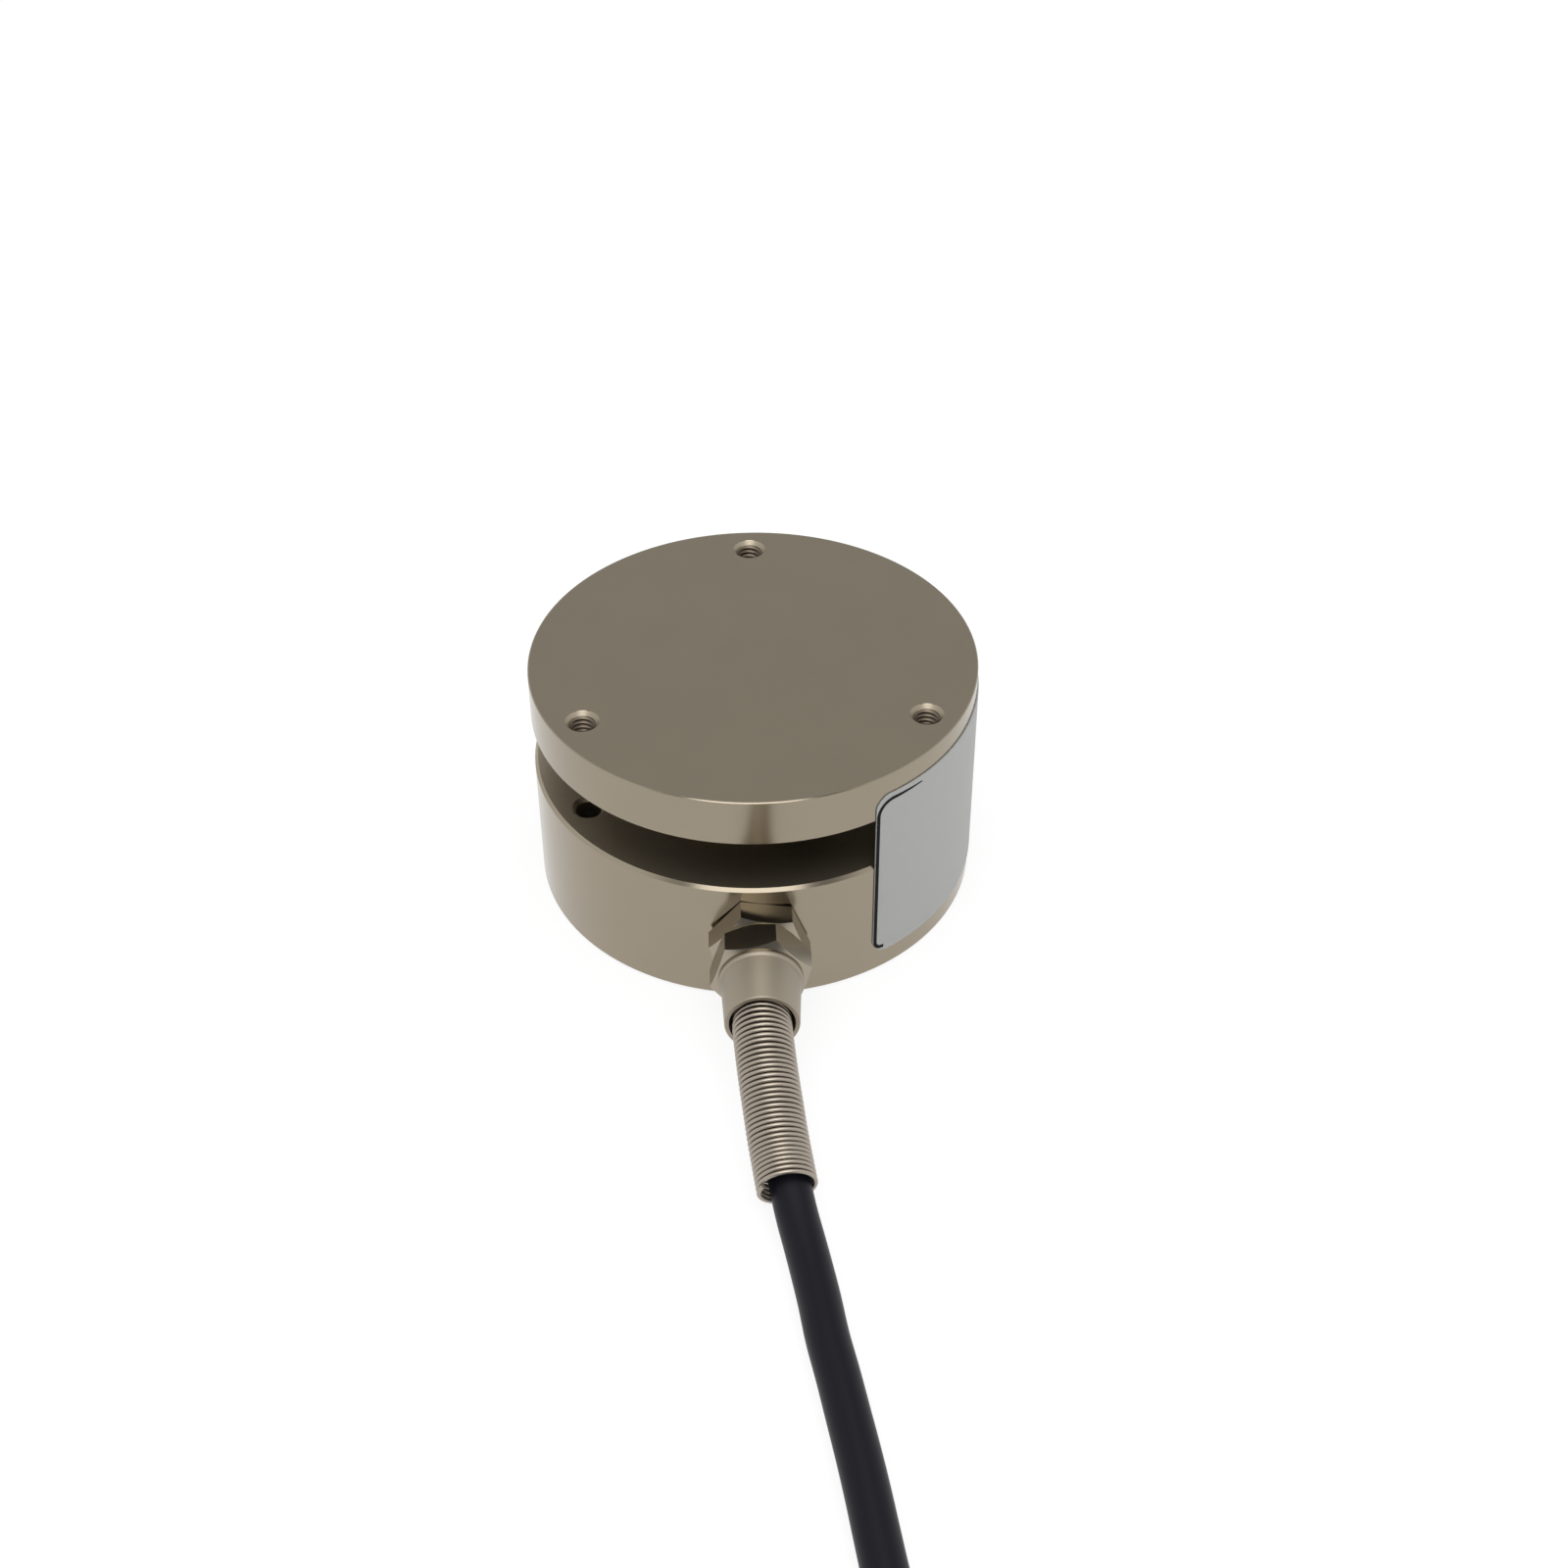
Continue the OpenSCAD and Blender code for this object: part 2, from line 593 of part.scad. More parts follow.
// Last stretch of the jacket, lying on the coil.
module cable_tail()
    color("#1e1e24") translate([COIL_AT[0], COIL_AT[1], coil_lift + 2.5 * coil_layer + fit_gap])
        rotate(tail_end) rotate_extrude(angle = tail_start - tail_end - 0.2)
            translate([tail_r, 0]) circle(d = cable_d, $fn = 32);

// Bands that hold the coil together.
module coil_ties() {
    t = coil_lift;
    gap = fit_gap;
    in = coil_in_r - cable_d / 2 - gap;
    out = coil_out_r + cable_d / 2 + gap;
    mid = coil_lift + 2 * coil_layer;
    high = coil_lift + 3 * coil_layer + gap;
    step = top_in_r - cable_d - coil_in_r + cable_d / 2;
    color("#26262a") translate(COIL_AT) for (a = TIE_ANGLES) rotate(a) rotate([90, 0, 0])
        linear_extrude(tie_w, center = true) difference() {
            polygon([[in - t, 0], [out + t, 0], [out + t, high + t],
                [in + 2 * step, high + t], [in - t, mid + t]]);
            polygon([[in, t], [out, t], [out, high], [in + 2 * step, high], [in, mid]]);
        }
}

// A bared core: it leaves the jacket's end, drops onto the coil and fans out.
function tail_core_route(i) =
    let (rest = coil_lift + 2 * coil_layer + core_d / 2 + 0.1, start = coil_lift + 2.5 * coil_layer)
    [for (j = [0:8]) let (
        a = tail_end - 0.2 - j * 8.5,
        fan = (1 - cos(180 * min(j / 5, 1))) / 2,
        r = tail_r + CORE_ROWS[i] * 0.5 * (1 - fan) + (coil_in_r - 1.5 + 1.25 * i - tail_r) * fan,
        z = start * (1 - fan) + rest * fan)
        [COIL_AT[0] + r * cos(a), COIL_AT[1] + r * sin(a), z]];

module tail_core(i)
    color(CORE_COLOURS[i]) tube(tail_core_route(i), core_d / 2, 8);

// Nameplate

// Blank metallised sticker bent round the side, with rounded corners.
module nameplate() {
    inner_r = body_r + 0.02;
    bend_steps = 48;
    // The corner's arc is centred a little nearer the edges than its radius, so it crosses them.
    corner_in = 0.96 * label_corner;
    corner_angle = corner_in / body_r * 180 / PI;
    reach = label_corner + cut;
    spandrel = concat(arc(0, 0, label_corner, -10, 100), [[-1, reach], [reach, reach], [reach, -1]]);
    module corner(angle, z, side, up)
        rotate(angle) translate([0, 0, z]) rotate([0, 90, 0]) translate([0, 0, body_r / 2])
            linear_extrude(body_r) polygon([for (p = spandrel) [-up * p[0], side * p[1]]]);
    color("#acaba9") rotate(label_start) difference() {
        translate([0, 0, label_z]) linear_extrude(label_h) polygon(concat(
            arc(0, 0, inner_r, 0, label_span, bend_steps),
            arc(0, 0, inner_r + label_t, label_span, 0, bend_steps)));
        corner(corner_angle, label_z + corner_in, -1, -1);
        corner(corner_angle, label_z + label_h - corner_in, -1, 1);
        corner(label_span - corner_angle, label_z + corner_in, 1, -1);
        corner(label_span - corner_angle, label_z + label_h - corner_in, 1, 1);
    }
}

load_body();
bottom_cover();
cover_seal();
cover_screws();
strain_gauge(1);  // strain_gauge_1
strain_gauge(2);  // strain_gauge_2
strain_gauge(3);  // strain_gauge_3
strain_gauge(4);  // strain_gauge_4
gauge_wires(1);  // gauge_wires_1
gauge_wires(2);  // gauge_wires_2
gauge_wires(3);  // gauge_wires_3
gauge_wires(4);  // gauge_wires_4
terminal_board();
chip_resistor(-3, 3, 0, 3.2);  // zero_trim_resistor
chip_resistor(3, 3, 0, 3.2);  // span_trim_resistor
chip_resistor(0, -1, 90, 2);  // temperature_resistor
inner_core(0);  // inner_core_red
inner_core(1);  // inner_core_black
inner_core(2);  // inner_core_green
inner_core(3);  // inner_core_white
gland_body();
gland_ring();
gland_seal();
gland_nut();
relief_spring();
cable();
cable_coil();
cable_tail();
coil_ties();
tail_core(0);  // tail_core_red
tail_core(1);  // tail_core_black
tail_core(2);  // tail_core_green
tail_core(3);  // tail_core_white
nameplate();
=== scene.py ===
"""Strain gauge load cell of the pancake kind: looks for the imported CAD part.

Lengths in the tables below are millimetres in the part's own frame (load axis +Z, cable out of
the -Y side, base standing on z = 0) and are turned into metres where a mesh is made.
"""

import math

import bpy
import numpy as np
from mathutils import Matrix, Vector

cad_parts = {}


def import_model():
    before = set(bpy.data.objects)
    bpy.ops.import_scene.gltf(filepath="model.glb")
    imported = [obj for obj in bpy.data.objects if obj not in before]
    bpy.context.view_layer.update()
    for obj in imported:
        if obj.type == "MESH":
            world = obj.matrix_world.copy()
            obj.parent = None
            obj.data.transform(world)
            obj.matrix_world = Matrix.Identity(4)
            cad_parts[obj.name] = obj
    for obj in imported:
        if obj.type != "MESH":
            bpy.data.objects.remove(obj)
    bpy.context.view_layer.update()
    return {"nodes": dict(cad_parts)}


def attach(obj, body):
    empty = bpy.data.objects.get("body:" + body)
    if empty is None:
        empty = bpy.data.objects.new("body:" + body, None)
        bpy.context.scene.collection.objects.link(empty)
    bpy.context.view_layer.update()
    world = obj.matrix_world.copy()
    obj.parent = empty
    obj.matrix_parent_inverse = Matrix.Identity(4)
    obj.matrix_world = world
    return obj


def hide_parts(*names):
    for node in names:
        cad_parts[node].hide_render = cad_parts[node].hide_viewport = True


MM = 0.001
TAU = 2 * math.pi

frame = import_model()
NODES = frame["nodes"]

# ---------------------------------------------------------------- sizes

BODY_H = 39.0
BODY_R = 35.0
PLATE_LOW = 31.0  # underside of the load plate
BOLT_CIRCLE_R = 30.0
BOLT_R = 2.0
BOLT_ANGLES = (90, 210, 330)
THREAD_PITCH = 0.8
THREAD_INSET = 0.4  # from a face to the first ridge
BASE_THREAD_TOP = 13.0
THREAD_ROOT = 0.06  # how far a ridge sits in the bore's wall
THREAD_CREST = 0.30  # how far it stands out of it
THREAD_HALF = 0.37  # half its width at the root
THREAD_TIP = 0.05  # and at the crest
WALL_SKIN = 0.52  # depth of the turned skin at the wall, enough to take in its broken edges
FACE_SKIN = 0.05  # and at the two faces
SLEEVE_Y = -44.6  # the gland is a round sleeve beyond this and hexagons before it

WIRE_D = 0.66
SPRING_D = 8.8
SPRING_PITCH = 0.76
SPRING_CLEARANCE = 0.02  # from the sleeve's shoulder to the first turn
CABLE_D = 6.0
CORE_D = 1.2
CONDUCTOR_D = 0.75
BARED = 5.0  # length of tinned strands at a core's end

# Axis of the relief spring, from the shoulder inside the gland's sleeve to its free end.
SPRING_ROUTE = [
    (0, -50, 12.5), (0, -54, 12.2), (0.3, -58, 11.3), (0.7, -62, 10.0),
    (1.2, -66, 8.6), (1.7, -70, 7.15), (2.3, -74, 5.8), (2.9, -78, 4.75),
]
# Centre line of the jacket, from inside the base to the place where the winding starts.
CABLE_ROUTE = [
    (0, -18, 12.5), (0, -28, 12.5), (0, -38, 12.5), (0, -46, 12.5), (0, -50, 12.5),
    (0, -54, 12.1), (0.3, -58, 11.2), (0.8, -62, 9.9), (1.4, -66, 8.4), (2.0, -70, 6.9),
    (2.7, -74, 5.5), (3.4, -78, 4.4), (4.1, -82, 3.6), (4.9, -86, 3.2), (5.8, -91, 3.0),
    (6.6, -96, 3.0), (7.4, -102, 3.0), (8.5, -108, 3.0), (9.5, -114, 3.0), (10.5, -120, 3.0),
    (11.4, -126, 3.0), (12.2, -132, 3.0), (13.2, -139, 3.0), (14.8, -147, 3.0),
    (16.8, -155, 3.3), (19.9, -166.6, 3.7), (22.4, -178, 3.8), (23.8, -188, 3.8),
]
# Nameplate: angles round +Z in radians, edges, and the radius of its face.
LABEL_START = math.radians(-60)
LABEL_SPAN = math.radians(96)
LABEL_LOW = 3.9
LABEL_HIGH = 35.4
LABEL_R = BODY_R + 0.22
# Brackets printed on it.
BRACKET_END = 0.35  # from the label's end
BRACKET_EDGE = 1.0  # from its long edges
BRACKET_TOP_R = 2.8
BRACKET_FOOT_R = 1.3
BRACKET_ARM = 8.5
BRACKET_FOOT = 0.3
BRACKET_HALF = (0.11, 0.30)  # half width at the arm's tip, and from its corner on
PRINT_THICK = 0.02

COIL_AT = (-18.0, -196.0)
COIL_LIFT = 0.8
COIL_IN_R = 24.0
COIL_OUT_R = 42.0
TAIL_R = 28.2
TAIL_END = 145.0  # degrees round the coil
# Bared cores. Angles are degrees round the coil, and radii are taken from its axis.
CORE_START = TAIL_END + 0.6  # just inside the jacket's cut end
CORE_STEP = 8.5  # from one point of a core's line to the next
CORE_POINTS = 9
CORE_SPREAD = 5  # steps over which the cores spread
CORE_HALF = 0.52 * CORE_D  # half the distance between two cores
CORE_FAN_R = COIL_IN_R - 0.9  # where the inner pair lies in the end
CORE_FAN_STEP = 2.5  # from there to the outer pair
CORE_GAP = 0.1  # from the wound cable to a core at rest on it

# How finely the lines and round sections are drawn: spacings in millimetres, points per turn,
# sides of a section, and degrees between two points of the winding.
SPRING_AXIS_SPACING = 0.05
ROUTE_SPACING = 1.2
CABLE_SPACING = 1.7
CORE_SPACING = 0.4
THREAD_POINTS = 40
WIRE_POINTS = 48
WIRE_SIDES = 14
CABLE_SIDES = 28
CORE_SIDES = 14
TIP_SIDES = 12
WINDING_STEP = 5
CORNER_POINTS = 13
BRACKET_POINTS = 180


# ---------------------------------------------------------------- geometry

def curve(points, step):
    """Catmull-Rom curve through the points, resampled every step by running length."""
    p = np.asarray(points, float)
    a = np.vstack([2 * p[0] - p[1], p, 2 * p[-1] - p[-2]])
    q = np.linspace(0, len(p) - 1, 40 * (len(p) - 1) + 1)
    i = np.minimum(q.astype(int), len(p) - 2)
    f = (q - i)[:, None]
    p0, p1, p2, p3 = a[i], a[i + 1], a[i + 2], a[i + 3]
    c = 0.5 * (
        2 * p1 + (p2 - p0) * f + (2 * p0 - 5 * p1 + 4 * p2 - p3) * f**2
        + (3 * p1 - p0 - 3 * p2 + p3) * f**3
    )
    return resample(c, step)


def running_length(c):
    """Length of a polyline up to each of its points."""
    return np.concatenate([[0], np.cumsum(np.linalg.norm(np.diff(c, axis=0), axis=1))])


def resample(c, step):
    """The same polyline with points a step apart along it."""
    s = running_length(c)
    t = np.linspace(0, s[-1], max(2, int(round(s[-1] / step)) + 1))
    return np.stack([np.interp(t, s, c[:, k]) for k in range(3)], 1)


def unit(v):
    """Vectors brought to length 1."""
    return v / np.linalg.norm(v, axis=-1, keepdims=True)


def circle(r, sides):
    """Section of a round rod: (r cos a, r sin a)."""
    a = np.linspace(0, TAU, sides, endpoint=False)
    return r * np.stack([np.cos(a), np.sin(a)], 1)


def sweep(path, section, up=(0, 0, 1)):
    """Closed skin of a section carried along a path: P(i, k) = c_i + x_k u_i + y_k v_i,
    with u = t x up and v = u x t, and t the path's direction."""
    c = np.asarray(path, float)
    t = unit(np.gradient(c, axis=0))
    u = unit(np.cross(t, np.broadcast_to(np.asarray(up, float), c.shape)))
    v = np.cross(u, t)
    s = np.asarray(section, float)
    s = s[None] if s.ndim == 2 else s
    s = np.broadcast_to(s, (len(c),) + s.shape[1:])
    grid = c[:, None] + s[..., :1] * u[:, None] + s[..., 1:] * v[:, None]
    return skin(grid)


def skin(grid):
    """Vertices and faces of rings of points, one after another, with a face on each end."""
    n, m = grid.shape[:2]
    i, k = np.meshgrid(np.arange(n - 1), np.arange(m), indexing="ij")
    j = (k + 1) % m
    quads = np.stack([i * m + k, (i + 1) * m + k, (i + 1) * m + j, i * m + j], -1).reshape(-1, 4)
    ends = [list(range(m)), list(range(n * m - 1, (n - 1) * m - 1, -1))]
    return grid.reshape(-1, 3), quads.tolist() + ends


def piece(name, parts, material, crease, body="root"):
    """One mesh object from (vertices, faces) parts, smooth except at edges sharper than crease."""
    verts, faces, start = [], [], 0
    for v, f in parts:
        verts.append(v)
        faces += [[a + start for a in face] for face in f]
        start += len(v)
    mesh = bpy.data.meshes.new(name)
    mesh.from_pydata((np.concatenate(verts) * MM).tolist(), [], faces)
    mesh.shade_smooth()
    mesh.set_sharp_from_angle(angle=math.radians(crease))
    mesh.materials.append(material)
    obj = bpy.data.objects.new(name, mesh)
    bpy.context.scene.collection.objects.link(obj)
    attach(obj, body)
    return obj


# ---------------------------------------------------------------- materials

def linear(code):
    """sRGB hex code to linear RGBA."""
    c = np.array([int(code[i:i + 2], 16) for i in (1, 3, 5)]) / 255
    c = np.where(c <= 0.04045, c / 12.92, ((c + 0.055) / 1.055) ** 2.4)
    return (*c.tolist(), 1.0)


def node(tree, kind, inputs=None, **settings):
    """Adds a node. Inputs maps a socket's name or number to a constant, or to the output that is
    linked to it; settings are the node's own properties."""
    n = tree.nodes.new(kind)
    for key, value in settings.items():
        setattr(n, key, value)
    for key, value in (inputs or {}).items():
        if isinstance(value, bpy.types.NodeSocket):
            tree.links.new(value, n.inputs[key])
        else:
            n.inputs[key].default_value = value
    return n


def place(tree):
    """Object coordinates of the point, which are its place in the part in metres."""
    return node(tree, "ShaderNodeTexCoord").outputs["Object"]


def grain(mm):
    """Noise scale whose features are about this size."""
    return 1000 / mm


def surface(name, colour, metallic=0.0, roughness=0.5, ior=None, spread=0.0, patch=3.0,
            bump=0.0, bump_mm=0.2, **sockets):
    """Principled surface, with further sockets by their names, an optional faint change of tone
    over patches of a size and an optional fine relief. Sizes and height are in millimetres."""
    m = bpy.data.materials.new(name)
    m.use_nodes = True
    tree = m.node_tree
    p = tree.nodes["Principled BSDF"]
    p.inputs["Base Color"].default_value = linear(colour)
    p.inputs["Metallic"].default_value = metallic
    p.inputs["Roughness"].default_value = roughness
    if ior is not None:
        p.inputs["IOR"].default_value = ior
    for key, value in sockets.items():
        p.inputs[key.replace("_", " ")].default_value = value
    m.diffuse_color = linear(colour)
    if spread:
        patches = node(tree, "ShaderNodeTexNoise",
                       {"Vector": place(tree), "Scale": grain(patch), "Detail": 3.0})
        tone = node(tree, "ShaderNodeValToRGB", {"Fac": patches.outputs["Fac"]})
        for stop, at, share in zip(tone.color_ramp.elements, (0.3, 0.7), (1 - spread, 1 + spread)):
            stop.position = at
            stop.color = (*[min(1, x * share) for x in linear(colour)[:3]], 1)
        tree.links.new(tone.outputs["Color"], p.inputs["Base Color"])
    if bump:
        fine = node(tree, "ShaderNodeTexNoise",
                    {"Vector": place(tree), "Scale": grain(bump_mm), "Detail": 2.0})
        relief = node(tree, "ShaderNodeBump",
                      {"Height": fine.outputs["Fac"], "Strength": 1.0, "Distance": bump * MM})
        tree.links.new(relief.outputs["Normal"], p.inputs["Normal"])
    return m


def rougher(material, roughness, mask):
    """Takes the material's roughness to another value where the mask is 1."""
    tree = material.node_tree
    p = tree.nodes["Principled BSDF"]
    zone = node(tree, "ShaderNodeMapRange",
                {"Value": mask(tree), "To Min": p.inputs["Roughness"].default_value,
                 "To Max": roughness})
    tree.links.new(zone.outputs["Result"], p.inputs["Roughness"])


def milled(tree):
    """1 in the slot, the pockets and the holes, where sqrt(x^2 + y^2) and |z - H / 2| lie under
    the turned skin; 0 on the skin."""
    at = place(tree)
    flat = node(tree, "ShaderNodeVectorMath", {0: at, 1: (1, 1, 0)}, operation="MULTIPLY")
    r = node(tree, "ShaderNodeVectorMath", {0: flat.outputs["Vector"]}, operation="LENGTH")
    z = node(tree, "ShaderNodeSeparateXYZ", {"Vector": at}).outputs["Z"]
    under_wall = node(tree, "ShaderNodeMath",
                      {0: r.outputs["Value"], 1: (BODY_R - WALL_SKIN) * MM},
                      operation="LESS_THAN")
    under_face = node(tree, "ShaderNodeMath",
                      {0: z, 1: BODY_H / 2 * MM, 2: (BODY_H / 2 - FACE_SKIN) * MM},
                      operation="COMPARE")
    return node(tree, "ShaderNodeMath", {0: under_wall.outputs[0], 1: under_face.outputs[0]},
                operation="MULTIPLY").outputs[0]


def sleeve(tree):
    """1 on the gland's round sleeve, 0 on its hexagons."""
    y = node(tree, "ShaderNodeSeparateXYZ", {"Vector": place(tree)}).outputs["Y"]
    return node(tree, "ShaderNodeMath", {0: y, 1: SLEEVE_Y * MM}, operation="LESS_THAN").outputs[0]


# Satin nickel plating over fine-turned steel: even warm grey, soft reflections without a clear
# image, faint clouding of the plate. The milled slot and holes are duller and spread the light.
NICKEL = surface("satin_nickel_plated_steel", "#988e7d", metallic=1.0, roughness=0.19,
                 spread=0.012, patch=9.0, bump=0.0006, bump_mm=0.3)
rougher(NICKEL, 0.42, milled)
# Inside of the tapped threads: dull, and a darker brown grey than the body, which is painted shade
# of the deep holes.
THREAD_PAINTED_SHADE = surface("dull_thread_with_painted_hole_shade", "#6b6155", metallic=1.0, roughness=0.45)
# Nickel-plated brass of the gland: paler and brighter than the body, its hexagons clear enough to
# show the dark room, its sleeve tumbled to a broad soft highlight.
GLAND = surface("nickel_plated_brass_gland", "#9f9687", metallic=1.0, roughness=0.22)
rougher(GLAND, 0.48, sleeve)
# Drawn stainless spring wire: a soft line of light along each turn.
SPRING = surface("drawn_stainless_spring_wire", "#a59c90", metallic=1.0, roughness=0.4)
# Smooth extruded PVC jacket: near black with a wide soft highlight and a slight waviness.
JACKET = surface("smooth_black_pvc_jacket", "#0a0a13", roughness=0.42, ior=1.5,
                 bump=0.004, bump_mm=2.4, Specular_IOR_Level=0.15)
# Matt nitrile rubber of the seals: very dark, with no highlight to speak of.
RUBBER = surface("matt_nitrile_rubber", "#202022", roughness=0.75, ior=1.52)
# Moulded nylon of the coil's ties: near black, with a greyer sheen than the jacket.
NYLON = surface("moulded_black_nylon", "#1b1b1d", roughness=0.5, ior=1.53)
# Polyimide film of the gauges: amber, with a half gloss.
POLYIMIDE = surface("amber_polyimide_gauge_film", "#c98f3a", roughness=0.35, ior=1.7)
# Enamelled copper hook-up wire: orange copper with a clear, bright highlight.
COPPER = surface("enamelled_copper_wire", "#c98052", metallic=1.0, roughness=0.3)
# Solder mask over glass laminate: green with a soft gloss.
BOARD = surface("green_solder_mask_laminate", "#2f6b45", roughness=0.4, ior=1.55)
# Dark glazed body of a chip resistor: nearly black, glossy.
CHIP = surface("dark_glazed_chip_resistor", "#2b2b2e", roughness=0.3, ior=1.5)
# Smooth extruded PVC core insulation in the four colours of a bridge circuit: plain colour with
# a soft gloss.
CORES = {
    "red": surface("red_core_insulation", "#a8221d", roughness=0.35, ior=1.53),
    "black": surface("black_core_insulation", "#1c1c1e", roughness=0.35, ior=1.53),
    "green": surface("green_core_insulation", "#1f7a3f", roughness=0.35, ior=1.53),
    "white": surface("white_core_insulation", "#e6e5e0", roughness=0.35, ior=1.53),
}
# Tinned copper strands at the bared ends: pale grey with a soft shine.
TINNED = surface("tinned_copper_strands", "#c4c3be", metallic=1.0, roughness=0.35)
# Metallised polyester film: pale neutral grey, satin, cooler than the steel round it.
FILM = surface("metallised_polyester_label", "#a0a19f", metallic=0.1, roughness=0.55, ior=1.6,
               spread=0.008, patch=2.5, Specular_IOR_Level=0.1)
# Black thermal-transfer print on the film: black without a shine.
PRINT = surface("black_label_print", "#0b0b0d", roughness=0.8, ior=1.5, Specular_IOR_Level=0.2)

FINISHES = {
    "load_body": NICKEL, "bottom_cover": NICKEL, "cover_screws": NICKEL,
    "gland_body": GLAND, "gland_nut": GLAND,
    "cover_seal": RUBBER, "gland_ring": RUBBER, "gland_seal": RUBBER,
    "terminal_board": BOARD, "coil_ties": NYLON,
    "zero_trim_resistor": CHIP, "span_trim_resistor": CHIP, "temperature_resistor": CHIP,
    "relief_spring": SPRING, "cable": JACKET, "cable_coil": JACKET, "cable_tail": JACKET,
    "nameplate": FILM,
}
for k in range(1, 5):
    FINISHES[f"strain_gauge_{k}"] = POLYIMIDE
    FINISHES[f"gauge_wires_{k}"] = COPPER
for name, material in CORES.items():
    FINISHES[f"inner_core_{name}"] = material
    FINISHES[f"tail_core_{name}"] = material

for name, obj in NODES.items():
    for s in obj.material_slots:
        s.link = "OBJECT"
        s.material = FINISHES[name]


# ---------------------------------------------------------------- threads in the tapped holes

def thread(x, y, low, high):
    """Helical ridge inside a bore: centre (x + R cos a, y + R sin a, low + pitch a / 2 pi). Its
    section is a triangle with a flat tip, from the root in the wall to the crest inwards, and
    fades out over the first and last quarter turn."""
    turns = (high - low) / THREAD_PITCH
    a = np.linspace(0, TAU * turns, int(THREAD_POINTS * turns) + 1)
    path = np.stack([x + BOLT_R * np.cos(a), y + BOLT_R * np.sin(a),
                     low + THREAD_PITCH * a / TAU], 1)
    section = np.array([(THREAD_ROOT, -THREAD_HALF), (THREAD_ROOT, THREAD_HALF),
                        (-THREAD_CREST, THREAD_TIP), (-THREAD_CREST, -THREAD_TIP)])
    fade = np.clip(np.minimum(a, a[-1] - a) / (TAU / 4), 0.02, 1)[:, None]
    depth = np.where(section[:, 0] > 0, section[:, 0], section[:, 0] * fade)
    return sweep(path, np.stack([depth, section[:, 1] * fade], -1))


def threads():
    """Ridges of the three tapped holes in the plate and the three in the base."""
    parts = []
    for angle in BOLT_ANGLES:
        x = BOLT_CIRCLE_R * math.cos(math.radians(angle))
        y = BOLT_CIRCLE_R * math.sin(math.radians(angle))
        parts.append(thread(x, y, PLATE_LOW + THREAD_INSET, BODY_H - THREAD_INSET))
        parts.append(thread(x, y, THREAD_INSET, BASE_THREAD_TOP))
    # The ridges' darker colour is painted shade inside the holes.
    piece("tapped_hole_threads", parts, THREAD_PAINTED_SHADE, crease=30)


threads()


# ---------------------------------------------------------------- relief spring

def spring():
    """Close-wound helix round the bent axis: c(s) + R (cos p u + sin p v), p = 2 pi s / pitch,
    with a round wire swept along it. It ends on a twelfth of a turn."""
    axis = curve(SPRING_ROUTE, SPRING_AXIS_SPACING)
    s = running_length(axis)
    first = WIRE_D / 2 + SPRING_CLEARANCE
    turns = math.floor((s[-1] - first) / SPRING_PITCH * 12) / 12
    p = np.linspace(0, TAU * turns, int(WIRE_POINTS * turns) + 1)
    at = first + p / TAU * SPRING_PITCH
    c = np.stack([np.interp(at, s, axis[:, k]) for k in range(3)], 1)
    t = unit(np.gradient(axis, axis=0))
    t = unit(np.stack([np.interp(at, s, t[:, k]) for k in range(3)], 1))
    u = unit(np.cross(t, [0, 0, 1]))
    v = np.cross(u, t)
    r = (SPRING_D - WIRE_D) / 2
    line = c + r * (np.cos(p)[:, None] * u + np.sin(p)[:, None] * v)
    wire = sweep(line, circle(WIRE_D / 2, WIRE_SIDES), up=unit(line - c))
    obj = piece("relief_spring_wire", [wire], SPRING, crease=50)
    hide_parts("relief_spring")
    return obj


SPRING_PIECE = spring()


# ---------------------------------------------------------------- cable

def spiral(start, end, r0, r1, z0, z1):
    """Points of one stage of the winding, clockwise from above, from one angle in degrees to
    another: r and z change evenly with the angle."""
    q = np.linspace(0, 1, int(abs(end - start) / WINDING_STEP) + 1)[:, None]
    a = np.radians(start + (end - start) * q)
    r = r0 + (r1 - r0) * q
    return np.hstack([COIL_AT[0] + r * np.cos(a), COIL_AT[1] + r * np.sin(a), z0 + (z1 - z0) * q])


def cable_line():
    """Centre line of the whole cable: the route, then three layers wound inwards, outwards and
    inwards again, with a climb between two layers."""
    z = [COIL_LIFT + CABLE_D * (k + 0.5) for k in range(3)]
    stages = [
        spiral(0, -1080, COIL_OUT_R, COIL_IN_R, z[0], z[0]),
        spiral(-1080, -1140, COIL_IN_R, COIL_IN_R, z[0], z[1]),
        spiral(-1140, -2220, COIL_IN_R, COIL_OUT_R, z[1], z[1]),
        spiral(-2220, -2265, COIL_OUT_R, COIL_OUT_R, z[1], z[2]),
        spiral(-2265, TAIL_END - 3240, COIL_OUT_R, TAIL_R, z[2], z[2]),
    ]
    wound = np.concatenate([stages[0]] + [s[1:] for s in stages[1:]])
    run = curve(CABLE_ROUTE + [tuple(wound[0])], ROUTE_SPACING)
    return resample(np.concatenate([run, wound[1:]]), CABLE_SPACING)


CABLE_LINE = cable_line()
CABLE = piece("signal_cable", [sweep(CABLE_LINE, circle(CABLE_D / 2, CABLE_SIDES))], JACKET,
              crease=50)
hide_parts("cable", "cable_coil", "cable_tail")


